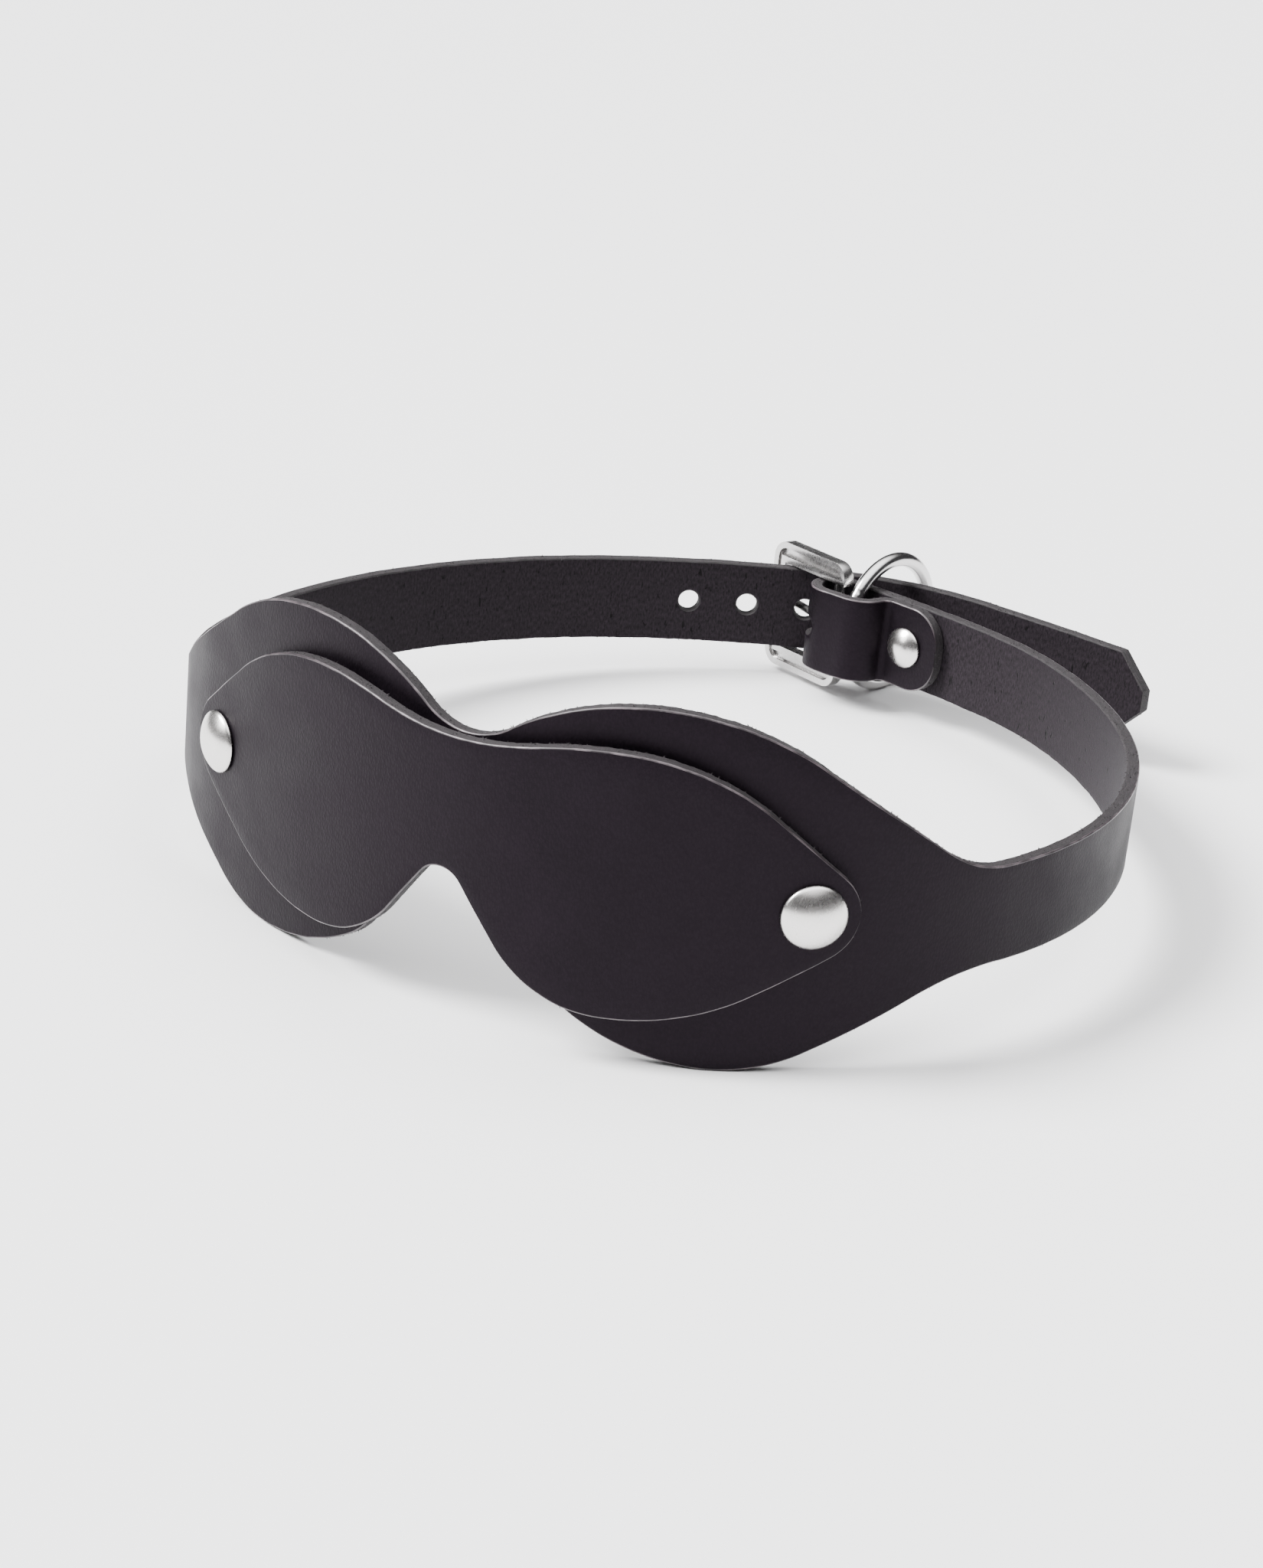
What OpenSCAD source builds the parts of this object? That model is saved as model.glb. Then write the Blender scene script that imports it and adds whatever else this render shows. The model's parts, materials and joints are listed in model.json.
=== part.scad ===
// Leather blindfold: a shaped face band with a riveted front panel. Its strap
// closes at the back through a buckle with a prong and a loose round ring.
// The band is one strip, laid along a route of arcs seen from above. The route
// starts at the nose and is counted positive towards +X, where the strap folds
// back round the buckle's heel bar, and negative towards the punched tail.
// Heights count from the strap's middle line, and the front faces -Y.

/* [Leather] */
// Thickness of the leather
leather = 2.75; // [2.2:0.05:3.4]
// Height of the strap
strapH = 20; // [16:0.5:25]
// Place of the shape's middle along the route
middle = 1; // [-3:0.5:3]

/* [Route of the band] */
// Lengths of the arcs on the +X side, from the nose to beside the head
foldLen = [50, 50, 50, 50]; // [40:0.5:60]
// Radii of the arcs on the +X side
foldR = [92, 77.7, 89.5, 101]; // [65:0.1:115]
// Lengths of the two arcs after them, round the back of the head
backLen = [40, 22]; // [18:0.5:46]
// Radii of the two arcs round the back of the head
backR = [116, 81]; // [70:0.5:130]
// Length of the flat arc that ends at the heel bar
endLen = 42.5; // [36:0.5:50]
// Radius of the flat arc that ends at the heel bar
endR = 280; // [150:5:600]
// Lengths of the arcs on the -X side, from the nose to the punched end
tailLen = [75, 50, 55, 60]; // [10:0.5:90]
// Radii of the arcs on the -X side
tailR = [173, 56, 111, 122]; // [50:0.5:200]
// Lengths of the punched end's arcs: to past the buckle, through the ring, tip
tipLen = [50, 40, 48]; // [20:0.5:60]
// Radii of the punched end's arcs
tipR = [168, 63, 450]; // [50:1:600]
// Chamfer of the tip's two corners
tipChamfer = 7.5; // [3:0.5:9]

/* [Band shape over the face] */
// Height of the dip over the nose
dipH = 28.4; // [24:0.2:32]
// Radius of the dip over the nose
dipR = 16; // [10:0.5:24]
// Height of the two crowns
crownH = 40.8; // [36:0.2:48]
// Distance from the middle to each crown
crownAt = 38.5; // [34:0.5:42]
// Radius of the crowns
crownR = 50; // [44:0.5:56]
// Slope from the crown down to the strap, in degrees
crownSlope = 33.6; // [28:0.2:40]
// Radius where that slope meets the strap
crownBlendR = 26; // [16:0.5:34]
// Depth of the two lobes under the strap's middle line
lobeH = 28.5; // [24:0.2:34]
// Distance from the middle to each lobe's lowest point
lobeAt = 51; // [46:0.5:55]
// Radius of the lobe's under side towards the nose
lobeR = 50; // [40:0.5:60]
// Radius of the lobe's corner by the nose
lobeNoseR = 22; // [16:0.5:26]
// Angle from the lobe's foot to that corner, in degrees
lobeNoseTurn = 30; // [20:1:40]
// Radius of the lobe's outer side
lobeOutR = 38; // [30:0.5:44]
// Slope from the lobe up to the strap, in degrees
lobeSlope = 26.6; // [22:0.2:32]
// Radius where that slope meets the strap
lobeBlendR = 40; // [30:1:46]
// Height of the nose notch
notchH = 4.5; // [1:0.2:8]
// Radius of the nose notch
notchR = 7.5; // [5:0.25:9]

/* [Front panel] */
// Height of the panel's dip over the nose
panelDipH = 28.9; // [25:0.1:31]
// Height of the panel's crowns
panelCrownH = 32.8; // [31:0.1:37]
// Distance from the middle to each panel crown
panelCrownAt = 32; // [28:0.5:36]
// Radius of the panel's crowns
panelCrownR = 42; // [36:0.5:48]
// Radius of the panel's round ends
panelEndR = 10; // [8:0.25:12]
// Distance from the middle to the centre of each round end
panelEndAt = 65; // [58:0.5:68]
// Height of the round ends and of the rivets in them
panelEndH = 4.8; // [2:0.2:8]
// Depth of the panel's lobes
panelLobeH = 19.3; // [16:0.2:23]
// Distance from the middle to each panel lobe
panelLobeAt = 31; // [28:0.5:34]
// Radius of the panel's lobes
panelLobeR = 50; // [44:0.5:56]
// Radius of the panel lobe's corner by the nose
panelNoseR = 24; // [20:0.5:27]
// Height of the panel's nose notch
panelNotchH = 2.8; // [0:0.2:5]
// Radius of the panel's nose notch
panelNotchR = 5.2; // [4:0.2:7]
// Air between the panel and the band at the middle
bulge = 2; // [0.4:0.1:4]
// Distance from the middle to each front rivet
rivetAt = 66.6; // [60:0.2:68]

/* [Rivets] */
// Diameter of the front rivet caps
capD = 12.7; // [9:0.1:15]
// Height of the front rivet caps
capH = 2.4; // [1.5:0.1:3]
// Diameter of the tab rivet's cap
tabCapD = 9.6; // [8:0.1:12]
// Height of the tab rivet's cap
tabCapH = 2; // [1.2:0.1:2.6]
// Height of the straight rim under a cap's dome
rimH = 0.6; // [0.3:0.1:1]
// Radius of the rivet posts
postR = 2; // [1.5:0.1:2.5]
// Radius of the flat heads on the far side
discR = 4.5; // [3.5:0.1:6]
// Thickness of those flat heads
discH = 1; // [0.6:0.1:1.6]
// Clearance round a post
postGap = 0.03; // [0.01:0.01:0.1]
// Clearance between faces that lie on each other
seat = 0.02; // [0.01:0.01:0.05]

/* [Fold and tab] */
// Radius of the fold's inner face round the heel bar
foldInR = 4.4; // [4.3:0.05:5.4]
// Air between the tab and the strap
tabGap = 0.2; // [0.1:0.05:0.4]
// Flat length of the tab between its bend and its rivet's cap
tabLead = 0.3; // [0.1:0.1:2]
// Length of the tab past its rivet
tabPast = 9.5; // [7:0.5:13]
// Radius of the tab's end corners
tabEndR = 8; // [3:0.5:9.5]
// Height of the slot for the prong
slotH = 5; // [4.6:0.1:7]
// Where the slot starts, past the heel bar's middle
slotFrom = 2; // [0:0.1:3]

/* [Buckle] */
// Radius of the heel bar
heelR = 1.5; // [1.2:0.05:1.8]
// Distance from the heel bar to the front bar, middle to middle
barAt = 20.5; // [18.5:0.1:24]
// Width of the front bar
barW = 4; // [3:0.1:5]
// Width of the two side rails
railW = 5; // [4:0.1:6]
// Thickness of the frame
frameT = 3; // [2.4:0.1:3.6]
// Clearance between the strap's edges and the rails
railGap = 0.5; // [0.3:0.05:1]
// Radius of the frame's outer corners
cornerR = 4; // [2.5:0.1:5]
// Depth of the channel in the frame's inner face
channelDeep = 1.2; // [0.4:0.1:1.6]
// Width of the ridges beside the channel
ridgeW = 1.5; // [1:0.1:1.8]
// Clearance between the front bar and the punched strap
barGap = 0.15; // [0.1:0.05:0.5]
// Radius of the prong
prongR = 1; // [0.7:0.05:1.05]
// Clearance between the prong and the front bar
prongGap = 0.08; // [0.05:0.01:0.3]
// Running clearance of the prong's eye on the heel bar
eyeGap = 0.05; // [0.02:0.01:0.1]
// Wall of the prong's eye
eyeWall = 1.15; // [0.8:0.05:1.5]
// Width of the prong's eye
eyeW = 4; // [3:0.1:4.4]

/* [Strap holes] */
// Radius of the strap holes
holeR = 2.5; // [2.45:0.05:3.2]
// Distance between the strap holes
holePitch = 14.1; // [12:0.1:16]
// How many holes lie before the prong's hole
holesBefore = 2; // [0:1:2]
// How many holes lie after the prong's hole
holesAfter = 2; // [0:1:3]

/* [Ring] */
// Radius of the ring's wire
wireR = 1.75; // [1.2:0.05:2]
// Clearance between the ring and the strap's corners
ringGap = 0.24; // [0.15:0.01:1]
// Distance from the heel bar to the ring along the strap
ringAt = 5.2; // [4.8:0.1:5.6]
// Depth of the ring's leg inside the fold
ringLegIn = 6.85; // [6.4:0.05:6.85]
// Height of the ring's middle over the strap's middle
ringUp = 0.3; // [0:0.1:0.5]

/* [Hidden] */
$fn = 96;
DEG = 180/PI;
half = strapH/2;
over = 1;

// ---- plane geometry ----
function unit(v) = v/norm(v);
function leftOf(u) = [-u[1], u[0]];
function dir(a) = [cos(a), sin(a)];
// crossing of two circles, on the left (+1) or right (-1) of the line a to b
function meet(a, ra, b, rb, s) = let (d = norm(b - a), x = (ra*ra - rb*rb + d*d)/(2*d),
    u = (b - a)/d) a + x*u + s*sqrt(ra*ra - x*x)*leftOf(u);
// a place is [x, y, heading]; a radius of 0 is straight ahead
function advance(p, len, r) = r == 0
    ? [p[0] + len*cos(p[2]), p[1] + len*sin(p[2]), p[2]]
    : let (a = p[2] + len/r*DEG)
      [p[0] + r*(sin(a) - sin(p[2])), p[1] - r*(cos(a) - cos(p[2])), a];
function centreOf(p, r) = [p[0], p[1]] + r*leftOf(dir(p[2]));
// pieces of a route: [lowest s, highest s, s of the known place, place, radius]
function pieces(lens, radii, p, s, sign, i = 0) = i == len(lens) ? []
    : let (e = s + sign*lens[i])
      concat([[min(s, e), max(s, e), s, p, radii[i]]],
          pieces(lens, radii, advance(p, e - s, radii[i]), e, sign, i + 1));

// ---- route ----
nose = [0, 0, 0];
mainRoute = pieces(concat(foldLen, backLen, endLen), concat(foldR, backR, endR), nose, 0, 1);
tailRoute = pieces(concat(tailLen, tipLen), concat(tailR, tipR), nose, 0, -1);
endPiece = mainRoute[len(mainRoute) - 1];
heelS = endPiece[1];
heelPlace = advance(endPiece[3], endLen, endR);
heel = centreOf(heelPlace, foldInR);
endCentre = centreOf(endPiece[3], endR);
endHeading = function(s) heelPlace[2] - (heelS - s)/endR*DEG;

// the tab runs straight past the ring, then two quarter bends lay it on the strap
tabStraight = ringAt + wireR - 0.75;
tabBendR = foldInR - tabGap/2;
foldTurn = [PI*foldInR, foldInR];
tabStart = advance(advance(heelPlace, foldTurn[0], foldInR), tabStraight, 0);
bendIn = centreOf(tabStart, tabBendR);
tabR = endR - tabGap;
bendOut = meet(bendIn, 2*tabBendR, endCentre, tabR - tabBendR, 1);
bendOutHeading = atan2(bendOut[1] - bendIn[1], bendOut[0] - bendIn[0]) + 90;
landing = bendOut - endCentre;
landingHeading = atan2(landing[1], landing[0]) + 90;
bendInLen = (bendOutHeading + 360 - tabStart[2])/DEG*tabBendR;
bendOutLen = (bendOutHeading + 180 - landingHeading)/DEG*tabBendR;
tabRivetS = heelS - (heelPlace[2] - landingHeading)/DEG*endR - tabLead - tabCapD/2;
tabEndLen = (landingHeading - endHeading(tabRivetS - tabPast))/DEG*tabR;
tabRoute = pieces([foldTurn[0], tabStraight, bendInLen, bendOutLen, tabEndLen],
    [foldInR, 0, tabBendR, -tabBendR, -tabR], heelPlace, heelS, 1);
tabBendS = heelS + foldTurn[0] + tabStraight;
tabEndS = tabRoute[4][1];
joinS = -tailRoute[3][0];
tipS = tailRoute[6][0];

function pieceAt(s) = [for (p = concat(mainRoute, tabRoute, tailRoute))
    if (s >= p[0] - 1e-6 && s <= p[1] + 1e-6) p][0];
function at(s) = let (p = pieceAt(s)) advance(p[3], s - p[2], p[4]);
// point at s, off out from the inner face, at height v
function point(s, off, v) = let (p = at(s))
    [p[0] + off*sin(p[2]), p[1] - off*cos(p[2]), v];
// steps from a to b without b
function steps(a, b, d) = let (n = max(1, ceil(abs(b - a)/d)))
    [for (i = [0:n - 1]) a + (b - a)*i/n];

// ---- outlines: arcs [from, to, centre u, centre v, radius, sign], else lines
function arcV(p, u) = p[3] + p[5]*sqrt(max(0, p[4]*p[4] - (u - p[2])*(u - p[2])));
function heightAt(shape, u) = let (p = [for (q = shape) if (u <= q[1]) q][0])
    len(p) == 6 ? arcV(p, u) : p[2] + (p[3] - p[2])*(u - p[0])/(p[1] - p[0]);
// unit normal shared by two circles; sum or difference of radii sets the kind
function sharedNormal(a, b, gap, s) = let (c = b - a)
    dir(atan2(c[1], c[0]) + s*acos(gap/norm(c)));

// band, upper edge
crownC = [crownAt, crownH - crownR];
dipC = [0, dipH + dipR];
dipTouch = crownC + crownR*unit(dipC - crownC);
crownN = dir(90 - crownSlope);
crownEnd = crownC + crownR*crownN;
crownBlendC = [crownEnd[0] + (crownBlendR - crownN[1]*(half + crownBlendR - crownEnd[1]))
    /crownN[0], half + crownBlendR];
crownLineEnd = crownBlendC - crownBlendR*crownN;
bandTop = [[0, dipTouch[0], dipC[0], dipC[1], dipR, -1],
    [dipTouch[0], crownEnd[0], crownC[0], crownC[1], crownR, 1],
    [crownEnd[0], crownLineEnd[0], crownEnd[1], crownLineEnd[1]],
    [crownLineEnd[0], crownBlendC[0], crownBlendC[0], crownBlendC[1], crownBlendR, -1],
    [crownBlendC[0], 1000, half, half]];

// band, lower edge
lobeC = [lobeAt, lobeR - lobeH];
notchC = [0, notchH - notchR];
lobeNoseC = lobeC + (lobeR - lobeNoseR)*dir(270 - lobeNoseTurn);
lobeCorner = lobeC + lobeR*unit(lobeNoseC - lobeC);
notchN = sharedNormal(notchC, lobeNoseC, notchR + lobeNoseR, 1);
notchEnd = notchC + notchR*notchN;
noseEnd = lobeNoseC - lobeNoseR*notchN;
lobeOutC = [lobeAt, lobeOutR - lobeH];
lobeN = dir(lobeSlope - 90);
lobeEnd = lobeOutC + lobeOutR*lobeN;
lobeBlendC = [lobeEnd[0] + (lobeBlendR + lobeN[1]*(half + lobeBlendR + lobeEnd[1]))
    /lobeN[0], -half - lobeBlendR];
lobeLineEnd = lobeBlendC - lobeBlendR*lobeN;
bandFoot = [[0, notchEnd[0], notchC[0], notchC[1], notchR, 1],
    [notchEnd[0], noseEnd[0], notchEnd[1], noseEnd[1]],
    [noseEnd[0], lobeCorner[0], lobeNoseC[0], lobeNoseC[1], lobeNoseR, -1],
    [lobeCorner[0], lobeAt, lobeC[0], lobeC[1], lobeR, -1],
    [lobeAt, lobeEnd[0], lobeOutC[0], lobeOutC[1], lobeOutR, -1],
    [lobeEnd[0], lobeLineEnd[0], lobeEnd[1], lobeLineEnd[1]],
    [lobeLineEnd[0], lobeBlendC[0], lobeBlendC[0], lobeBlendC[1], lobeBlendR, 1],
    [lobeBlendC[0], 1000, -half, -half]];

// panel, upper edge: two equal arcs from the dip to the crown, then a line
panelRise = panelCrownH - panelDipH;
panelDipR = (panelCrownAt*panelCrownAt + panelRise*panelRise)/(4*panelRise);
panelEndC = [panelEndAt, panelEndH];
panelCrownC = [panelCrownAt, panelCrownH - panelCrownR];
panelTopN = sharedNormal(panelCrownC, panelEndC, panelCrownR - panelEndR, 1);
panelTopA = panelCrownC + panelCrownR*panelTopN;
panelTopB = panelEndC + panelEndR*panelTopN;
panelTip = panelEndAt + panelEndR*cos(8);
panelTop = [[0, panelCrownAt/2, 0, panelDipH + panelDipR, panelDipR, -1],
    [panelCrownAt/2, panelCrownAt, panelCrownAt, panelCrownH - panelDipR, panelDipR, 1],
    [panelCrownAt, panelTopA[0], panelCrownC[0], panelCrownC[1], panelCrownR, 1],
    [panelTopA[0], panelTopB[0], panelTopA[1], panelTopB[1]],
    [panelTopB[0], 1000, panelEndC[0], panelEndC[1], panelEndR, 1]];

// panel, lower edge
panelLobeC = [panelLobeAt, panelLobeR - panelLobeH];
panelNoseC = [panelLobeAt, panelNoseR - panelLobeH];
panelNotchC = [0, panelNotchH - panelNotchR];
panelNotchN = sharedNormal(panelNotchC, panelNoseC, panelNotchR + panelNoseR, 1);
panelNotchA = panelNotchC + panelNotchR*panelNotchN;
panelNotchB = panelNoseC - panelNoseR*panelNotchN;
panelFootN = sharedNormal(panelLobeC, panelEndC, panelLobeR - panelEndR, -1);
panelFootA = panelLobeC + panelLobeR*panelFootN;
panelFootB = panelEndC + panelEndR*panelFootN;
panelFoot = [[0, panelNotchA[0], panelNotchC[0], panelNotchC[1], panelNotchR, 1],
    [panelNotchA[0], panelNotchB[0], panelNotchA[1], panelNotchB[1]],
    [panelNotchB[0], panelLobeAt, panelNoseC[0], panelNoseC[1], panelNoseR, -1],
    [panelLobeAt, panelFootA[0], panelLobeC[0], panelLobeC[1], panelLobeR, -1],
    [panelFootA[0], panelFootB[0], panelFootA[1], panelFootB[1]],
    [panelFootB[0], 1000, panelEndC[0], panelEndC[1], panelEndR, -1]];

// ---- ribbons: a row of stations [s, inner off, outer off, low v, high v] ----
function corners(q) = [point(q[0], q[1], q[3]), point(q[0], q[2], q[3]),
    point(q[0], q[2], q[4]), point(q[0], q[1], q[4])];
module ribbon(row) {
    last = len(row) - 1;
    sides = [for (i = [0:last - 1], k = [0:3])
        let (a = 4*i + k, b = 4*i + (k + 1)%4) each [[a, b, b + 4], [a, b + 4, a + 4]]];
    ends = [[3, 2, 1], [3, 1, 0], [0, 1, 2] + 4*last*[1, 1, 1], [0, 2, 3] + 4*last*[1, 1, 1]];
    polyhedron([for (q = row) each corners(q)], concat(sides, ends));
}
// distances from the middle, close together where the outlines turn fast
fineEnd = 12;
fine = steps(0, fineEnd, 1);
coarse = 2;
faceEnd = 110; // the outlines are straight from here on
strapStep = 4;
panelTurn = 60; // angle on the panel's round end where its own steps start
function mirrored(us) = concat([for (i = [len(us) - 1:-1:1]) -us[i]], us);
faceU = mirrored(concat(fine, steps(fineEnd, faceEnd, coarse), [faceEnd]));
function bandStation(s) = let (u = abs(s - middle))
    [s, 0, leather, heightAt(bandFoot, u), heightAt(bandTop, u)];
function roundEnd(d, r) = half - r + sqrt(max(0, r*r - (r - d)*(r - d)));
tabEndSteps = [for (a = [0:15:75]) tabEndR*(1 - sin(a))];
strapRow = [for (s = concat(
        steps(-joinS, middle - faceEnd, strapStep), [for (u = faceU) middle + u],
        steps(middle + faceEnd + strapStep, heelS, strapStep), steps(heelS, heelS + foldTurn[0], 1.2),
        steps(heelS + foldTurn[0], tabBendS, 2),
        steps(tabBendS, tabBendS + bendInLen + bendOutLen, 1),
        steps(tabBendS + bendInLen + bendOutLen, tabEndS - tabEndR, 2)))
    bandStation(s)];
tabEndRow = [for (d = tabEndSteps)
    [tabEndS - d, 0, leather, -roundEnd(d, tabEndR), roundEnd(d, tabEndR)]];
tabEndCap = [[tabEndS, 0, leather, tabEndR - half, half - tabEndR]];
bandRow = concat(strapRow, tabEndRow, tabEndR < half ? tabEndCap : []);
tipRow = [for (s = concat([tipS + 0.01, tipS + tipChamfer],
        steps(tipS + tipChamfer + 3, -joinS, 3), [-joinS]))
    let (h = min(half, half - tipChamfer + s - tipS)) [s, 0, leather, -h, h]];
function panelOff(u) = leather + seat
    + (u < rivetAt ? bulge*(1 + cos(180*u/rivetAt))/2 : 0);
panelU = mirrored(concat(fine,
    steps(fineEnd, panelEndAt + panelEndR*cos(panelTurn), coarse),
    [for (a = [panelTurn - 4:-8:8]) panelEndAt + panelEndR*cos(a)]));
panelRow = [for (u = panelU) let (a = abs(u), off = panelOff(a))
    [middle + u, off, off + leather, heightAt(panelFoot, a), heightAt(panelTop, a)]];

// ---- buckle ----
// the front bar's near corner clears the punched strap
tailPiece = tailRoute[4];
tailCentre = centreOf(tailPiece[3], tipR[0]);
barCorner = [barAt - barW/2, frameT/2];
nearCorner = meet(heel, norm(barCorner), tailCentre, tipR[0] + leather + barGap, -1)
    - heel;
frameHeading = atan2(nearCorner[1], nearCorner[0]) - atan2(barCorner[1], barCorner[0]);
prongHeading = frameHeading - atan2(barCorner[1], barCorner[0])
    - asin((prongR + prongGap)/norm(barCorner));
railIn = half + railGap;
railOut = railIn + railW;
frameTip = barAt + barW/2;
heelTip = railW/2;
// the prong's hole lies where the prong crosses the middle of the strap
prongDir = dir(prongHeading);
tailMidR = tipR[0] + leather/2;
toProng = heel - tailCentre;
prongFoot = -toProng*prongDir;
prongFar = norm(toProng + prongFoot*prongDir);
prongReach = prongFoot + sqrt(tailMidR*tailMidR - prongFar*prongFar);
prongHit = heel + prongReach*prongDir - tailCentre;
hitHeading = atan2(prongHit[1], prongHit[0]) + 90;
prongHoleS = tailPiece[2] - ((tailPiece[3][2] - hitHeading + 720)%360)/DEG*tipR[0];
holes = [for (i = [-holesBefore:holesAfter]) prongHoleS - i*holePitch];

// ---- ring ----
ringS = heelS - ringAt;
// the strap's lower inner corner sets the ring's size
cornerUp = half + ringUp;
legFace = ringLegIn - wireR;
ringIn = (legFace*legFace + cornerUp*cornerUp - ringGap*ringGap)/(2*(legFace - ringGap));
ringMidR = ringIn + wireR;
ringOff = ringMidR - ringLegIn;

// ---- resting on both lobes and the ring ----
footA = point(middle - lobeAt, 0, -lobeH);
footB = point(middle + lobeAt, 0, -lobeH);
ringFar = point(ringS, ringOff, ringUp - ringMidR - wireR);
restUp = unit(cross(footB - footA, ringFar - footA));
tipAxis = [restUp[1], -restUp[0], 0];
skew = [[0, 0, tipAxis[1]], [0, 0, -tipAxis[0]], [-tipAxis[1], tipAxis[0], 0]];
upright = [[1, 0, 0], [0, 1, 0], [0, 0, 1]];
turn = upright + skew + skew*skew/(1 + restUp[2]);
ribbonPoints = [for (q = concat(bandRow, tipRow, panelRow)) each [for (c = corners(q)) turn*c]];
ringMid = turn*point(ringS, ringOff, ringUp);
ringAxis = turn*concat(dir(at(ringS)[2]), 0);
function ringEdge(k, s) = ringMid[k] + s*(ringMidR*sqrt(1 - ringAxis[k]*ringAxis[k]) + wireR);
function low(k) = min(concat([for (c = ribbonPoints) c[k]], [ringEdge(k, -1)]));
function high(k) = max(concat([for (c = ribbonPoints) c[k]], [ringEdge(k, 1)]));
home = -[(low(0) + high(0))/2, (low(1) + high(1))/2, low(2)];
module resting() multmatrix([for (k = [0:2]) concat(turn[k], home[k])]) children();
module outward(s, off, v) translate(point(s, off, v)) rotate([90, 0, at(s)[2]]) children();
module inward(s, off, v) translate(point(s, off, v)) rotate([-90, 0, at(s)[2]]) children();
module atHeel(heading) translate([heel[0], heel[1], 0]) rotate([0, 0, heading]) children();

// ---- sub-parts ----
module strapHole(s, v, r, h = leather) outward(s, -over, v) cylinder(r = r, h = h + 2*over);

module mask_strap() color("#39353a") resting() difference() {
    ribbon(bandRow);
    for (m = [-1, 1]) strapHole(middle + m*rivetAt, panelEndH, postR + postGap);
    outward(tabRivetS, -tabGap - leather - over, 0)
        cylinder(r = postR + postGap, h = tabGap + 2*leather + 2*over);
    atHeel(heelPlace[2]) translate([slotFrom, -foldInR - 2*leather, -slotH/2])
        cube([foldInR + 2*leather, 2*foldInR + 4*leather, slotH]);
}

module punched_end() color("#39353a") resting() difference() {
    ribbon(tipRow);
    for (s = holes) strapHole(s, 0, holeR);
}

module front_panel() color("#423d42") resting() difference() {
    ribbon(panelRow);
    for (m = [-1, 1])
        outward(middle + m*rivetAt, leather - over, panelEndH)
            cylinder(r = postR + postGap, h = leather + 2*over);
}

module dome(d, h) {
    ballR = (d*d/4 + h*h)/(2*h);
    cylinder(d = d, h = rimH);
    translate([0, 0, rimH]) intersection() {
        cylinder(d = d, h = h);
        translate([0, 0, h - ballR]) sphere(ballR);
    }
}
// room that a flat disc needs on a hollow face of that radius
function hollow(r, faceR) = r*r/(2*faceR) + seat;
module post(h) {
    cylinder(r = discR, h = discH);
    translate([0, 0, discH]) cylinder(r = postR, h = h);
}
module frontCap(m) color("silver") resting()
    outward(middle + m*rivetAt, 2*leather + 2*seat, panelEndH) dome(capD, capH);
module frontPost(m) {
    s = middle + m*rivetAt;
    sit = hollow(discR, pieceAt(s)[4]);
    color("silver") resting() outward(s, -sit - discH, panelEndH)
        post(sit + 2*leather + 2*seat);
}
module left_rivet_cap() frontCap(-1);
module left_rivet_post() frontPost(-1);
module right_rivet_cap() frontCap(1);
module right_rivet_post() frontPost(1);

tabFace = tabGap + leather + hollow(tabCapD/2, tabR - leather);
module tab_rivet_cap() color("silver") resting()
    inward(tabRivetS, -tabFace, 0) dome(tabCapD, tabCapH);
module tab_rivet_post() color("silver") resting()
    inward(tabRivetS, leather + seat + discH, 0) post(leather + seat + tabFace);

module plate(x0, x1, z, r) {
    for (x = [x0 + r, x1 - r], s = [-1, 1]) translate([x, s*(z - r)]) circle(r);
    translate([x0 + r, -z]) square([x1 - x0 - 2*r, 2*z]);
    translate([x0, r - z]) square([x1 - x0, 2*z - 2*r]);
}
// the frame's outline, drawn in from all its edges by a margin
module frameShape(inset) difference() {
    plate(inset - heelTip, frameTip - inset, railOut - inset, cornerR - inset);
    translate([-heelTip - over, -railIn - inset])
        square([heelTip + over + barAt - barW/2 + inset, 2*railIn + 2*inset]);
}
module buckle_frame() color("gray") resting() atHeel(frameHeading) {
    difference() {
        rotate([90, 0, 0]) linear_extrude(frameT, center = true) frameShape(0);
        translate([0, frameT/2 + over, 0]) rotate([90, 0, 0])
            linear_extrude(channelDeep + over) frameShape(ridgeW);
    }
    translate([0, 0, -railIn - heelR]) cylinder(r = heelR, h = 2*railIn + 2*heelR);
}

module buckle_prong() color("silver") resting() atHeel(prongHeading) {
    eyeIn = heelR + eyeGap;
    difference() {
        cylinder(r = eyeIn + eyeWall, h = eyeW, center = true);
        cylinder(r = eyeIn, h = eyeW + 2*over, center = true);
    }
    rotate([0, 90, 0]) translate([0, 0, eyeIn + eyeWall/2])
        cylinder(r = prongR, h = frameTip - prongR - eyeIn - eyeWall/2);
    translate([frameTip - prongR, 0, 0]) sphere(prongR);
}

module keeper_ring() color("silver") resting()
    translate(point(ringS, ringOff, ringUp)) rotate([90, 0, at(ringS)[2] + 90])
        rotate_extrude() translate([ringMidR, 0]) circle(wireR);

mask_strap();
punched_end();
front_panel();
left_rivet_cap();
left_rivet_post();
right_rivet_cap();
right_rivet_post();
tab_rivet_cap();
tab_rivet_post();
buckle_frame();
buckle_prong();
keeper_ring();
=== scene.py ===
import bpy, bmesh, json, math
from mathutils import Matrix, Vector, noise


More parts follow.
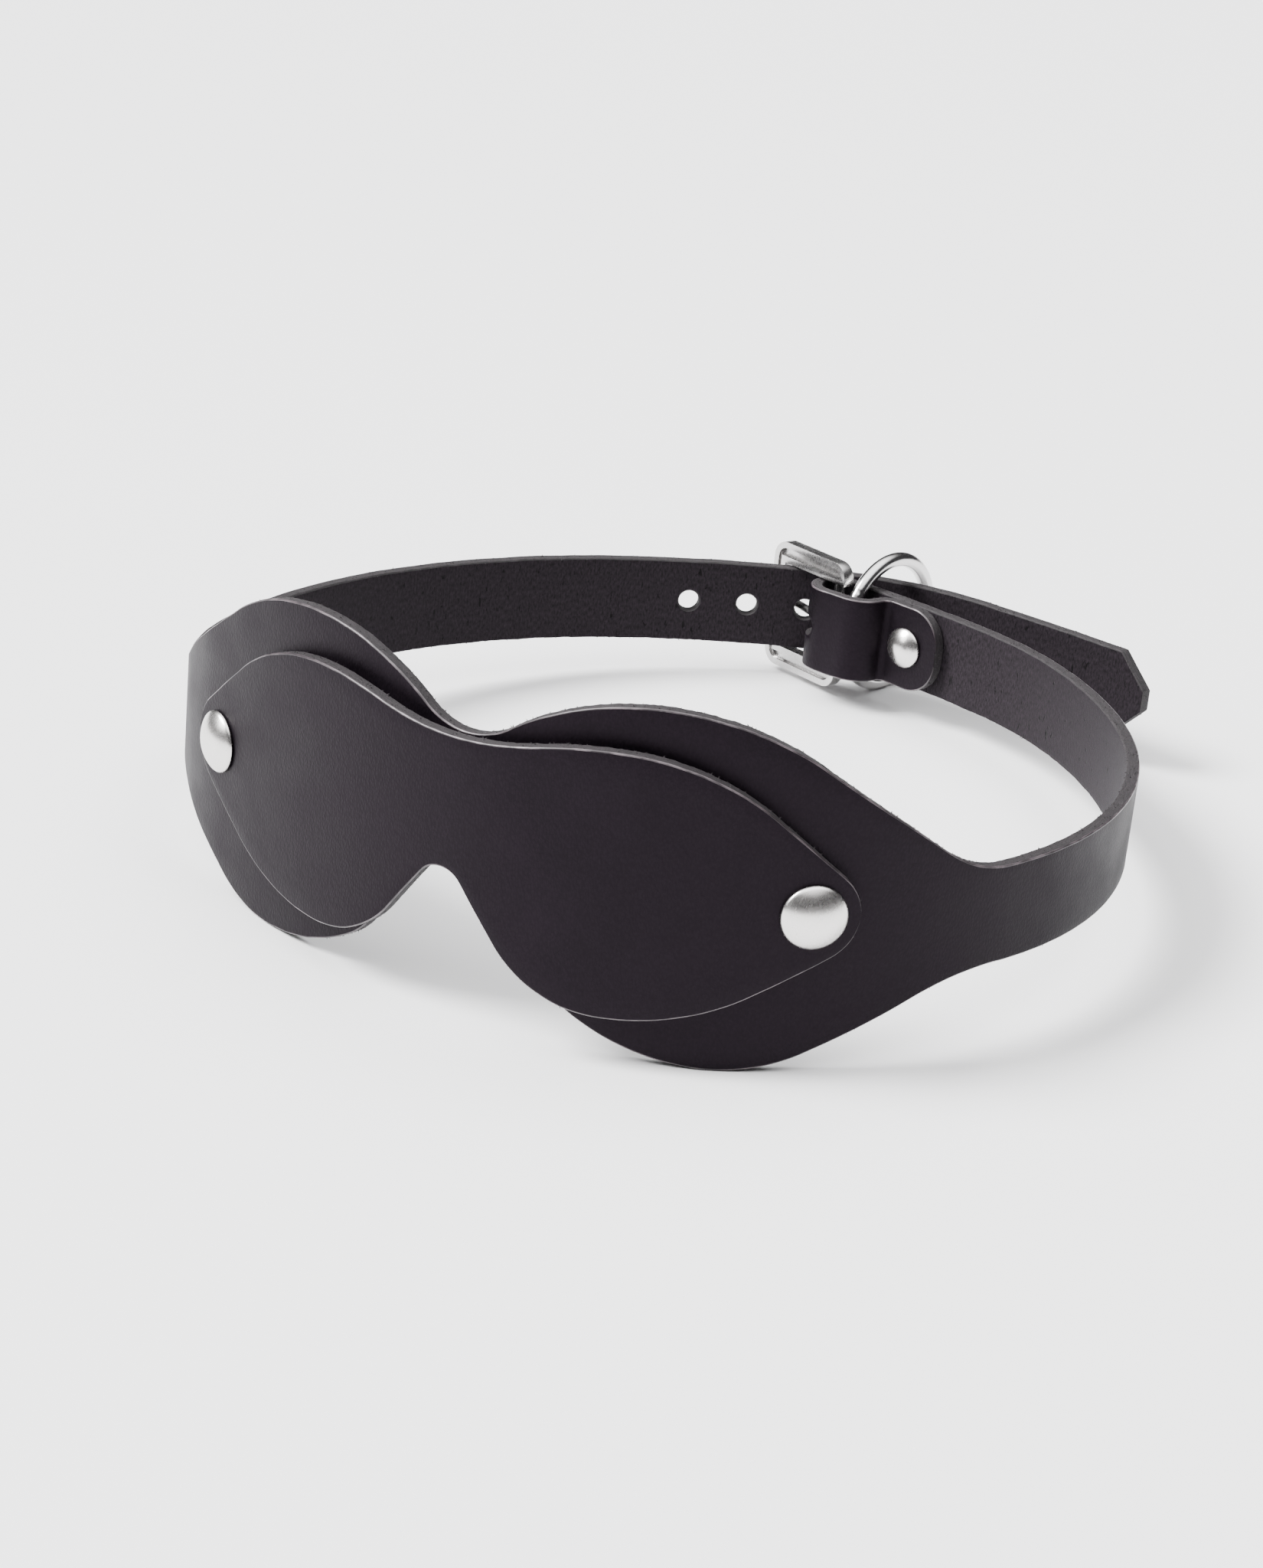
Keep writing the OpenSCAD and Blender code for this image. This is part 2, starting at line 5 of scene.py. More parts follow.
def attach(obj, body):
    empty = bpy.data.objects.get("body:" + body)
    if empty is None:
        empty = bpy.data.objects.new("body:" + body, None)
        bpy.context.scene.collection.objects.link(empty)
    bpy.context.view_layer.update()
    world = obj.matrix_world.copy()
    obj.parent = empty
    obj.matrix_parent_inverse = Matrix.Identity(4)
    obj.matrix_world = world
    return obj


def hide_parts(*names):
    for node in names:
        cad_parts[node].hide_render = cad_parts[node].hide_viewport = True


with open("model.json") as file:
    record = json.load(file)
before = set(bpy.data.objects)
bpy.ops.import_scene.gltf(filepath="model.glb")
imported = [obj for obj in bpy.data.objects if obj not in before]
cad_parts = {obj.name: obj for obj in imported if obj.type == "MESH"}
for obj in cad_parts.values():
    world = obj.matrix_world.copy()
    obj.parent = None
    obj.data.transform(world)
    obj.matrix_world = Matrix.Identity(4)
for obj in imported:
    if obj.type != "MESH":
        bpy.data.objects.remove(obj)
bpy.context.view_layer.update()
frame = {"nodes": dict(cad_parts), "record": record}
mm = 0.001
pivot = {j["name"]: j for j in frame["record"]["behaviour"]["joints"]}
print("frame loaded")

# The band's route seen from above: arcs (length, radius) from the nose, both ways
route = {
    "foldSide": [(50, 92), (50, 77.7), (50, 89.5), (50, 101), (40, 116), (22, 81), (42.5, 280)],
    "tailSide": [(75, 173), (50, 56), (55, 111), (60, 122), (50, 168), (40, 63), (48, 450)],
    "leather": 2.75, "strapHigh": 20, "middle": 1,
    "foldInner": 4.4, "tabGap": 0.2, "tabStraight": 6.2, "tabCap": 4.8, "tabLead": 0.3, "tabPast": 9.5,
}
half = route["strapHigh"] / 2
leather = route["leather"]


def advance(place, length, radius):
    x, y, a = place
    if radius == 0:
        return (x + length * math.cos(a), y + length * math.sin(a), a)
    b = a + length / radius
    return (x + radius * (math.sin(b) - math.sin(a)), y - radius * (math.cos(b) - math.cos(a)), b)


def centreOf(place, radius):
    return Vector((place[0] - radius * math.sin(place[2]), place[1] + radius * math.cos(place[2])))


def layPieces(arcs, place, s, sign):
    pieces = []
    for length, radius in arcs:
        end = s + sign * length
        pieces.append((min(s, end), max(s, end), s, place, radius))
        place, s = advance(place, end - s, radius), end
    return pieces, place, s


def meetCircles(a, ra, b, rb, side):
    d = (b - a).length
    u = (b - a) / d
    x = (ra * ra - rb * rb + d * d) / (2 * d)
    return a + x * u + side * math.sqrt(ra * ra - x * x) * Vector((-u.y, u.x))


def layTab(heelPlace, heelS, flatPiece):  # round the heel bar, straight, two bends, then flat on the strap
    r = route["foldInner"]
    flatCentre = centreOf(flatPiece[3], flatPiece[4])
    fold = math.pi * r
    start = advance(advance(heelPlace, fold, r), route["tabStraight"], 0)
    bend = r - route["tabGap"] / 2
    tabR = flatPiece[4] - route["tabGap"]
    one = centreOf(start, bend)
    two = meetCircles(one, 2 * bend, flatCentre, tabR - bend, 1)
    turnAt = math.atan2(two.y - one.y, two.x - one.x) + math.pi / 2
    landAt = math.atan2(two.y - flatCentre.y, two.x - flatCentre.x) + math.pi / 2
    first = (turnAt + 2 * math.pi - start[2]) * bend
    second = (turnAt + math.pi - landAt) * bend
    rivetS = heelS - (heelPlace[2] - landAt) * flatPiece[4] - route["tabLead"] - route["tabCap"]
    endAngle = heelPlace[2] - (heelS - rivetS + route["tabPast"]) / flatPiece[4]
    flat = (landAt - endAngle) * tabR
    arcs = [(fold, r), (route["tabStraight"], 0), (first, bend), (second, -bend), (flat, -tabR)]
    pieces, endS = layPieces(arcs, heelPlace, heelS, 1)[::2]
    return pieces, endS, rivetS


mainPieces, heelPlace, heelS = layPieces(route["foldSide"], (0, 0, 0), 0, 1)
tailPieces, tipS = layPieces(route["tailSide"], (0, 0, 0), 0, -1)[::2]
tabPieces, tabEndS, tabRivetS = layTab(heelPlace, heelS, mainPieces[-1])
allPieces = mainPieces + tabPieces + tailPieces
heel = centreOf(heelPlace, route["foldInner"])

# the whole object leans a little, to stand on both lobes and the ring
upAxis = -Vector(pivot["frame_pivot"]["axis"]).normalized()
leanAxis = Vector((-upAxis.y, upAxis.x, 0))
lean = Matrix.Rotation(math.acos(upAxis.z), 3, leanAxis.normalized())
home = Vector(pivot["frame_pivot"]["pos_m"]) - lean @ Vector((heel.x, heel.y, 0)) * mm


def placeAt(s):
    for low, high, known, place, radius in allPieces:
        if low - 1e-6 <= s <= high + 1e-6:
            return advance(place, s - known, radius)


def toRow(p):  # millimetres on the route to metres in the frame
    return home + lean @ Vector(p) * mm


def onBand(s, off, v):
    x, y, a = placeAt(s)
    return toRow((x + off * math.sin(a), y - off * math.cos(a), v))


def outwardAt(s):
    a = placeAt(s)[2]
    return lean @ Vector((math.sin(a), -math.cos(a), 0))


cameraView = {"azimuth": 32.4, "elevation": 21.01, "roll": 5.53, "distance": 641, "aim": (-9.57, 72.34, -5.32),
              "lens": 70.79, "sees": 100}


def makeCamera(c):
    a, e, r = (math.radians(c[k]) for k in ("azimuth", "elevation", "roll"))
    look = Vector((-math.sin(a) * math.cos(e), math.cos(a) * math.cos(e), -math.sin(e)))
    right = Vector((math.cos(a), math.sin(a), 0))
    up = right.cross(look)
    right, up = right * math.cos(r) + up * math.sin(r), up * math.cos(r) - right * math.sin(r)
    turned = Matrix((lean @ right, lean @ up, lean @ -look)).transposed().to_4x4()
    camera = bpy.data.objects.new("camera", bpy.data.cameras.new("camera"))
    camera.data.lens = c["lens"]
    camera.data.clip_end = c["sees"]
    camera.matrix_world = Matrix.Translation(toRow(Vector(c["aim"]) - c["distance"] * look)) @ turned
    bpy.context.scene.collection.objects.link(camera)
    bpy.context.scene.camera = camera


makeCamera(cameraView)
print("camera set")


def newGroup(name, label, start, results):  # a shader group from a vector and one value to some values
    group = bpy.data.node_groups.new(name, "ShaderNodeTree")
    group.interface.new_socket(name="Vector", in_out="INPUT", socket_type="NodeSocketVector")
    given = group.interface.new_socket(name=label, in_out="INPUT", socket_type="NodeSocketFloat")
    given.default_value = start
    for result in results:
        group.interface.new_socket(name=result, in_out="OUTPUT", socket_type="NodeSocketFloat")
    return group, group.nodes.new("NodeGroupInput"), group.nodes.new("NodeGroupOutput")


def addNode(tree, kind, **values):
    node = tree.nodes.new(kind)
    for key, value in values.items():
        if hasattr(node, key) and not key[0].isupper():
            setattr(node, key, value)
        else:
            node.inputs[key].default_value = value
    return node


def mathNode(tree, operation, a, b=None, clamp=False):
    node = tree.nodes.new("ShaderNodeMath")
    node.operation, node.use_clamp = operation, clamp
    for socket, value in zip(node.inputs, (a, b)):
        if value is None:
            continue
        if isinstance(value, (int, float)):
            socket.default_value = value
        else:
            tree.links.new(value, socket)
    return node.outputs[0]


def addUp(tree, *parts):  # the sum of some values, each times its weight
    total = None
    for value, weight in parts:
        part = value if weight == 1 else mathNode(tree, "MULTIPLY", value, weight)
        total = part if total is None else mathNode(tree, "ADD", total, part)
    return total


def mapRange(tree, value, low, high, toLow=0.0, toHigh=1.0):
    node = tree.nodes.new("ShaderNodeMapRange")
    tree.links.new(value, node.inputs[0])
    for i, v in enumerate((low, high, toLow, toHigh), 1):
        node.inputs[i].default_value = v
    return node.outputs[0]


def stretched(tree, vector, scale):
    node = addNode(tree, "ShaderNodeMapping")
    node.inputs["Scale"].default_value = scale
    tree.links.new(vector, node.inputs["Vector"])
    return node.outputs[0]


def noiseOf(tree, vector, scale, detail=4.0, rough=0.55, distort=0.0):
    node = addNode(tree, "ShaderNodeTexNoise", Scale=scale, Detail=detail, Roughness=rough, Distortion=distort)
    tree.links.new(vector, node.inputs["Vector"])
    return node.outputs[0]


def makeGrainGroup():  # pebbled hide: small cells drawn out upwards, soft patches and a few creases
    group, gin, gout = newGroup("hideGrain", "Cell", 1.0, ("Height", "Tone", "Patch"))
    drawn = addNode(group, "ShaderNodeVectorMath", operation="MULTIPLY")
    drawn.inputs[1].default_value = (2300, 1250, 2300)
    group.links.new(gin.outputs[0], drawn.inputs[0])
    sized = addNode(group, "ShaderNodeVectorMath", operation="SCALE")
    group.links.new(drawn.outputs[0], sized.inputs[0])
    group.links.new(gin.outputs[1], sized.inputs["Scale"])
    cells = addNode(group, "ShaderNodeTexVoronoi", feature="F1", Scale=1.0, Randomness=1.0)
    group.links.new(sized.outputs[0], cells.inputs["Vector"])
    fine = noiseOf(group, sized.outputs[0], 2.6, 3, 0.6)
    broad = noiseOf(group, gin.outputs[0], 70, 3, 0.5)
    streak = noiseOf(group, stretched(group, gin.outputs[0], (420, 60, 420)), 1.0, 4, 0.6, 0.4)
    pebble = mapRange(group, cells.outputs["Distance"], 0.1, 0.75, 1.0, 0.0)
    height = addUp(group, (pebble, 0.55), (fine, 0.45), (streak, 0.16))
    tone = addUp(group, (height, 0.35), (broad, 0.65))
    group.links.new(height, gout.inputs[0])
    group.links.new(mapRange(group, tone, 0.35, 0.95), gout.inputs[1])
    group.links.new(mapRange(group, broad, 0.3, 0.7), gout.inputs[2])
    return group


def makeWearGroup():  # fine hairline scratches and faint cloudy smears for metal
    group, gin, gout = newGroup("metalWear", "Amount", 0.5, ("Rough", "Height", "Dirt"))
    smear = noiseOf(group, gin.outputs[0], 220, 4, 0.6)
    scratch = noiseOf(group, stretched(group, gin.outputs[0], (3000, 260, 900)), 1.0, 2, 0.5, 0.6)
    pits = noiseOf(group, gin.outputs[0], 4200, 2, 0.5)
    line = mapRange(group, scratch, 0.60, 0.68)
    marks = addUp(group, (mapRange(group, smear, 0.35, 0.7), 1), (line, 0.7))
    group.links.new(mathNode(group, "MULTIPLY", marks, gin.outputs[1]), gout.inputs[0])
    group.links.new(addUp(group, (line, -0.3), (pits, 0.5)), gout.inputs[1])
    group.links.new(mapRange(group, pits, 0.68, 0.78), gout.inputs[2])
    return group


grainGroup = makeGrainGroup()
wearGroup = makeWearGroup()


def newMaterial(name):
    material = bpy.data.materials.new(name)
    material.use_nodes = True
    return material, material.node_tree, material.node_tree.nodes["Principled BSDF"]


def mixColours(tree, factor, dark, light):
    node = tree.nodes.new("ShaderNodeMix")
    node.data_type = "RGBA"
    node.inputs["A"].default_value = (*dark, 1)
    node.inputs["B"].default_value = (*light, 1)
    tree.links.new(factor, node.inputs["Factor"])
    return node.outputs["Result"]


def paint(tree, shader, factor, look):  # the base colour runs from the look's dark to its light
    tree.links.new(mixColours(tree, factor, look["dark"], look["light"]), shader.inputs["Base Color"])


def roughen(tree, shader, value, low, high, toLow, toHigh):
    tree.links.new(mapRange(tree, value, low, high, toLow, toHigh), shader.inputs["Roughness"])


def bumpNode(tree, height, strength, distance, shader):
    node = addNode(tree, "ShaderNodeBump", Strength=strength, Distance=distance)
    tree.links.new(height, node.inputs["Height"])
    tree.links.new(node.outputs[0], shader.inputs["Normal"])
    return node


def groupNode(tree, group, vector, value):
    node = tree.nodes.new("ShaderNodeGroup")
    node.node_tree = group
    tree.links.new(vector, node.inputs[0])
    node.inputs[1].default_value = value
    return node


grainSide = {"dark": (0.0024, 0.0017, 0.0025), "light": (0.0078, 0.0055, 0.0079), "roughLow": 0.40,
             "roughHigh": 0.52, "shine": 0.10, "cell": 1.0, "bump": 0.22, "tint": (1.0, 0.80, 1.0)}
fleshSide = {"dark": (0.0024, 0.0018, 0.0025), "light": (0.026, 0.0198, 0.0255), "shine": 0.10, "bump": 0.5}
# the rim's light colour is a painted highlight along the grain-side corner; its low roughness is the real burnish
burnishAndPaintedHighlight = {"dark": (0.020, 0.015, 0.018), "light": (0.11, 0.092, 0.10), "rough": 0.24, "bump": 0.25}
cutEdge = {"dark": (0.0030, 0.0022, 0.0028), "light": (0.027, 0.0212, 0.0245), "bump": 0.75}


def makeGrainLeather(look):
    material, tree, shader = newMaterial("grainLeather")
    uv = addNode(tree, "ShaderNodeUVMap", uv_map="hide")
    grain = groupNode(tree, grainGroup, uv.outputs[0], look["cell"])
    paint(tree, shader, grain.outputs["Tone"], look)
    roughen(tree, shader, grain.outputs["Patch"], 0, 1, look["roughLow"], look["roughHigh"])
    shader.inputs["Specular IOR Level"].default_value = look["shine"]
    shader.inputs["Specular Tint"].default_value = (*look["tint"], 1)
    bumpNode(tree, grain.outputs["Height"], look["bump"], 0.00022, shader)
    return material


def makeFleshLeather(look):
    material, tree, shader = newMaterial("fleshLeather")
    uv = addNode(tree, "ShaderNodeUVMap", uv_map="hide")
    nap = noiseOf(tree, stretched(tree, uv.outputs[0], (2400, 900, 1)), 1.0, 4, 0.65)
    pits = noiseOf(tree, stretched(tree, uv.outputs[0], (950, 330, 1)), 1.0, 3, 0.5, 0.5)
    pit = mapRange(tree, pits, 0.36, 0.27)
    tone = mathNode(tree, "SUBTRACT", mapRange(tree, nap, 0.3, 0.75), mathNode(tree, "MULTIPLY", pit, 0.8), True)
    paint(tree, shader, tone, look)
    roughen(tree, shader, nap, 0.3, 0.7, 0.62, 0.85)
    shader.inputs["Specular IOR Level"].default_value = look["shine"]
    shader.inputs["Sheen Weight"].default_value = 0.05
    shader.inputs["Sheen Roughness"].default_value = 0.4
    bumpNode(tree, mathNode(tree, "SUBTRACT", nap, pit), look["bump"], 0.0002, shader)
    return material


def makeCutEdge(look):
    material, tree, shader = newMaterial("cutEdge")
    uv = addNode(tree, "ShaderNodeUVMap", uv_map="hide")
    layers = noiseOf(tree, stretched(tree, uv.outputs[0], (380, 3400, 1)), 1.0, 5, 0.65, 0.3)
    fibre = noiseOf(tree, stretched(tree, uv.outputs[0], (2600, 2600, 1)), 1.0, 3, 0.6)
    tone = mapRange(tree, addUp(tree, (layers, 0.65), (fibre, 0.35)), 0.38, 0.66)
    paint(tree, shader, tone, look)
    roughen(tree, shader, fibre, 0.3, 0.7, 0.6, 0.85)
    bumpNode(tree, mathNode(tree, "ADD", layers, fibre), look["bump"], 0.00025, shader)
    return material


def makeBurnishedPaintedHighlight(look):  # the rubbed corner between the hide's face and its cut edge, burnished smooth, with its base colour lightened as a painted highlight line
    material, tree, shader = newMaterial("burnishedRimPaintedHighlight")
    uv = addNode(tree, "ShaderNodeUVMap", uv_map="hide")
    rubAndHighlight = noiseOf(tree, stretched(tree, uv.outputs[0], (260, 1200, 1)), 1.0, 4, 0.6)
    # painted highlight: along the rim the base colour runs from dark up to a light grey
    paint(tree, shader, mapRange(tree, rubAndHighlight, 0.42, 0.66), look)
    roughen(tree, shader, rubAndHighlight, 0.3, 0.7, look["rough"] + 0.2, look["rough"])
    bumpNode(tree, rubAndHighlight, look["bump"], 0.00015, shader)
    return material


metals = {
    "capNickel": {"colour": (0.72, 0.70, 0.68), "rough": 0.25, "wear": 0.10, "bump": 0.02},
    "buckleSteel": {"colour": (0.55, 0.54, 0.535), "rough": 0.25, "wear": 0.12, "bump": 0.02},
    "ringNickel": {"colour": (0.60, 0.59, 0.585), "rough": 0.18, "wear": 0.15, "bump": 0.04},
}


def makeMetal(name, look):
    material, tree, shader = newMaterial(name)
    place = addNode(tree, "ShaderNodeTexCoord")
    worn = groupNode(tree, wearGroup, place.outputs["Object"], look["wear"])
    shader.inputs["Metallic"].default_value = 1
    dull = tuple(c * 0.55 for c in look["colour"])
    paint(tree, shader, worn.outputs["Dirt"], {"dark": look["colour"], "light": dull})
    roughen(tree, shader, worn.outputs["Rough"], 0, 1, look["rough"], look["rough"] + 0.35)
    bumpNode(tree, worn.outputs["Height"], look["bump"], 0.00005, shader)
    return material


grainLeather = makeGrainLeather(grainSide)
fleshLeather = makeFleshLeather(fleshSide)
edgeLeather = makeCutEdge(cutEdge)
rimLeatherPaintedHighlight = makeBurnishedPaintedHighlight(burnishAndPaintedHighlight)
capNickel, buckleSteel, ringNickel = (makeMetal(name, look) for name, look in metals.items())
print("materials made")


# an outline is a list of arcs (from, to, centre u, centre v, radius, sign) and lines (from, to, v, v)
def heightAt(outline, u):
    for p in outline:
        if u <= p[1] + 1e-9:
            break
    if len(p) == 6:
        return p[3] + p[5] * math.sqrt(max(0, p[4] ** 2 - (u - p[2]) ** 2))
    return p[2] + (p[3] - p[2]) * (u - p[0]) / (p[1] - p[0])


def towards(angle):
    return Vector((math.cos(angle), math.sin(angle)))


def sharedNormal(a, b, gap, side):
    c = b - a
    return towards(math.atan2(c.y, c.x) + side * math.acos(gap / c.length))


bandShape = {"dip": (28.4, 16), "crown": (38.5, 40.8, 50), "crownSlope": 33.6, "crownBlend": 26,
             "lobe": (51, 28.5, 50), "lobeNose": 22, "noseTurn": 240, "lobeOut": 38, "lobeSlope": 26.6,
             "lobeBlend": 40, "notch": (4.5, 7.5), "reach": 112}
panelShape = {"dip": 28.9, "crown": (32, 32.8, 42), "end": (65, 4.8, 10), "lobe": (31, 19.3, 50),
              "lobeNose": 24, "notch": (2.8, 5.2), "bulge": 2, "rivetAt": 66.6, "seat": 0.02}
farOut = 1000  # past every strip's end


def bandOutlines(b):
    dipHigh, dipR = b["dip"]
    at, high, r = b["crown"]
    crown = Vector((at, high - r))
    dip = Vector((0, dipHigh + dipR))
    touch = crown + r * (dip - crown).normalized()
    n = towards(math.radians(90 - b["crownSlope"]))
    end = crown + r * n
    blend = b["crownBlend"]
    bc = Vector((end.x + (blend - n.y * (half + blend - end.y)) / n.x, half + blend))
    le = bc - blend * n
    top = [(0, touch.x, 0, dip.y, dipR, -1), (touch.x, end.x, crown.x, crown.y, r, 1),
           (end.x, le.x, end.y, le.y), (le.x, bc.x, bc.x, bc.y, blend, -1), (bc.x, farOut, half, half)]
    at, deep, r = b["lobe"]
    lobe = Vector((at, r - deep))
    nr = b["lobeNose"]
    noseC = lobe + (r - nr) * towards(math.radians(b["noseTurn"]))
    corner = lobe + r * (noseC - lobe).normalized()
    nh, nn = b["notch"]
    notch = Vector((0, nh - nn))
    n = sharedNormal(notch, noseC, nn + nr, 1)
    a, c = notch + nn * n, noseC - nr * n
    out = Vector((at, b["lobeOut"] - deep))
    m = towards(math.radians(b["lobeSlope"] - 90))
    oe = out + b["lobeOut"] * m
    blend = b["lobeBlend"]
    bc = Vector((oe.x + (blend + m.y * (half + blend + oe.y)) / m.x, -half - blend))
    le = bc - blend * m
    foot = [(0, a.x, 0, notch.y, nn, 1), (a.x, c.x, a.y, c.y), (c.x, corner.x, noseC.x, noseC.y, nr, -1),
            (corner.x, at, lobe.x, lobe.y, r, -1), (at, oe.x, out.x, out.y, b["lobeOut"], -1),
            (oe.x, le.x, oe.y, le.y), (le.x, bc.x, bc.x, bc.y, blend, 1), (bc.x, farOut, -half, -half)]
    return top, foot


def panelOutlines(b):
    at, high, r = b["crown"]
    rise = high - b["dip"]
    soft = (at * at + rise * rise) / (4 * rise)
    ex, ey, er = b["end"]
    crown, end = Vector((at, high - r)), Vector((ex, ey))
    n = sharedNormal(crown, end, r - er, 1)
    a, c = crown + r * n, end + er * n
    top = [(0, at / 2, 0, b["dip"] + soft, soft, -1), (at / 2, at, at, high - soft, soft, 1),
           (at, a.x, crown.x, crown.y, r, 1), (a.x, c.x, a.y, c.y), (c.x, farOut, ex, ey, er, 1)]
    at, deep, r = b["lobe"]
    nr = b["lobeNose"]
    lobe, noseC = Vector((at, r - deep)), Vector((at, nr - deep))
    nh, nn = b["notch"]
    notch = Vector((0, nh - nn))
    n = sharedNormal(notch, noseC, nn + nr, 1)
    a, c = notch + nn * n, noseC - nr * n
    m = sharedNormal(lobe, end, r - er, -1)
    d, e = lobe + r * m, end + er * m
    foot = [(0, a.x, 0, notch.y, nn, 1), (a.x, c.x, a.y, c.y), (c.x, at, noseC.x, noseC.y, nr, -1),
            (at, d.x, lobe.x, lobe.y, r, -1), (d.x, e.x, d.y, e.y), (e.x, farOut, ex, ey, er, -1)]
    return top, foot


stripDetail = {"step": 0.7, "foldStep": 0.7, "grainCorner": 0.34, "fleshCorner": 0.4, "cornerSteps": 4,
               "rows": 12, "edgeRows": 4, "wander": 0.09, "ragged": 0.16}


def steps(a, b, d):
    n = max(1, math.ceil(abs(b - a) / d))
    return [a + (b - a) * i / n for i in range(n)]


# points (off, v, kind) round the strip; kind 0 is the grain side, 1 the flesh side, 2 the cut edge, 3 the rim, which
# carries a painted highlight
def crossSection(inner, outer, low, high, d):
    g = min(d["grainCorner"], (high - low) / 2.2)
    f = min(d["fleshCorner"], (high - low) / 2.2)
    k = d["cornerSteps"]
    ring = []
    for i in range(d["rows"] + 1):
        ring.append((outer, low + g + (high - low - 2 * g) * i / d["rows"], 0))
    for i in range(1, k + 1):
        t = math.pi / 2 * i / k
        ring.append((outer - g + g * math.cos(t), high - g + g * math.sin(t), 3 if i < k else 2))
    for i in range(1, d["edgeRows"]):
        ring.append((outer - g + (inner + f - outer + g) * i / d["edgeRows"], high, 2))
    for i in range(k + 1):
        t = math.pi / 2 * (1 + i / k)
        ring.append((inner + f + f * math.cos(t), high - f + f * math.sin(t), 2 if i < k else 1))
    for i in range(1, d["rows"]):
        ring.append((inner, high - f - (high - low - 2 * f) * i / d["rows"], 1))
    for i in range(k + 1):
        t = math.pi * (1 + i / (2 * k))
        ring.append((inner + f + f * math.cos(t), low + f + f * math.sin(t), 1 if i < 2 else 2))
    for i in range(1, d["edgeRows"]):
        ring.append((inner + f + (outer - g - inner - f) * i / d["edgeRows"], low, 2))
    for i in range(k):
        t = math.pi * (1.5 + i / (2 * k))
        ring.append((outer - g + g * math.cos(t), low + g + g * math.sin(t), 3 if i else 2))
    return ring


def ragged(s, deep, v, low, high, d):  # torn fibres lift the cut edge near the flesh side
    near = max(0, 1 - deep / 1.5)
    side = 1 if v > (low + high) / 2 else -1
    reach = max(0, 1 - min(v - low, high - v) / d["fleshCorner"])
    return side * d["ragged"] * near * reach * noise.noise(Vector((s * 1.7, deep * 2, side * 5)))


def makeStrip(name, stations, d):  # stations (s, inner, outer, low, high)
    bm = bmesh.new()
    uv = bm.loops.layers.uv.new("hide")
    rings, sections = [], []
    for s, inner, outer, low, high in stations:
        wander = d["wander"] * min(1, (high - low) / 6)
        low += wander * noise.noise(Vector((s * 0.21, 3.1, 0)))
        high += wander * noise.noise(Vector((s * 0.21, 9.7, 0)))
        section = [(off, v + ragged(s, off - inner, v, low, high, d), kind)
                   for off, v, kind in crossSection(inner, outer, low, high, d)]
        rings.append([bm.verts.new(onBand(s, off, v)) for off, v, kind in section])
        sections.append((s, section))
    count = len(rings[0])
    for i in range(len(rings) - 1):
        for j in range(count):
            k = (j + 1) % count
            face = bm.faces.new((rings[i][j], rings[i + 1][j], rings[i + 1][k], rings[i][k]))
            kinds = (sections[i][1][j][2], sections[i][1][k][2])
            face.material_index = 3 if 3 in kinds else kinds[1] if kinds[0] == 0 else kinds[0]
            face.smooth = True
            for loop, (a, b) in zip(face.loops, ((i, j), (i + 1, j), (i + 1, k), (i, k))):
                s, section = sections[a]
                off, v, kind = section[b]
                across = v + (off if kind == 2 else 0) + (40 if kind == 1 else 0)
                if face.material_index > 1:
                    across = off + (80 if v > 0 else 160)
                loop[uv].uv = (s * mm, across * mm)
    for ring, s, flip in ((rings[0], stations[0][0], False), (rings[-1], stations[-1][0], True)):
        face = bm.faces.new(ring if not flip else list(reversed(ring)))
        face.material_index = 2
        section = sections[-1 if flip else 0][1]
        points = section if not flip else list(reversed(section))
        for loop, (off, v, kind) in zip(face.loops, points):
            loop[uv].uv = (v * mm, off * mm)
    bmesh.ops.recalc_face_normals(bm, faces=bm.faces)
    mesh = bpy.data.meshes.new(name)
    bm.to_mesh(mesh)
    bm.free()
    # the fourth material, the rim, has a painted highlight in its base colour
    for material in (grainLeather, fleshLeather, edgeLeather, rimLeatherPaintedHighlight):
        mesh.materials.append(material)
    piece = bpy.data.objects.new(name, mesh)
    bpy.context.scene.collection.objects.link(piece)
    return piece


strapEnds = {"chamfer": 7.5, "tabRound": 8, "roundSteps": 12, "tipFirst": 0.05, "tipSecond": 0.4, "tipStep": 0.6}


def bandStations():
    top, foot = bandOutlines(bandShape)
    mid, reach = route["middle"], bandShape["reach"]
    d, e = stripDetail, strapEnds
    plain = d["step"] * 1.5  # the plain strap takes longer steps
    slanted = tipS + e["chamfer"]
    rows = []
    tip = [tipS + e["tipFirst"]] + steps(tipS + e["tipSecond"], slanted, e["tipStep"])
    for s in tip + steps(slanted, mid - reach, plain):
        h = min(half, half - e["chamfer"] + s - tipS)
        rows.append((s, 0, leather, -h, h))
    for u in steps(-reach, reach, d["step"]):
        rows.append((mid + u, 0, leather, heightAt(foot, abs(u)), heightAt(top, abs(u))))
    rounded = tabEndS - e["tabRound"]
    path = steps(mid + reach, heelS, plain) + steps(heelS, rounded, d["foldStep"])
    rows += [(s, 0, leather, -half, half) for s in path]
    for i in range(e["roundSteps"] + 1):
        t = math.pi / 2 * i / e["roundSteps"]
        h = half - e["tabRound"] + e["tabRound"] * math.cos(t)
        rows.append((rounded + e["tabRound"] * math.sin(t), 0, leather, -h, h))
    return rows


def panelStations():
    top, foot = panelOutlines(panelShape)
    p = panelShape
    ex, ey, er = p["end"]
    us = steps(0, ex + er * 0.35, stripDetail["step"] * 0.9)
    closer = (69, 60, 52, 44, 37, 30, 24, 18, 13, 8, 4)  # degrees round the end, closer towards its tip
    us += [ex + er * math.cos(math.radians(a)) for a in closer]
    rows = []
    for u in [-u for u in reversed(us[1:])] + us:
        a = abs(u)
        lift = p["bulge"] * (1 + math.cos(math.pi * a / p["rivetAt"])) / 2 if a < p["rivetAt"] else 0
        off = leather + p["seat"] + lift
        rows.append((route["middle"] + u, off, off + leather, heightAt(foot, a), heightAt(top, a)))
    return rows


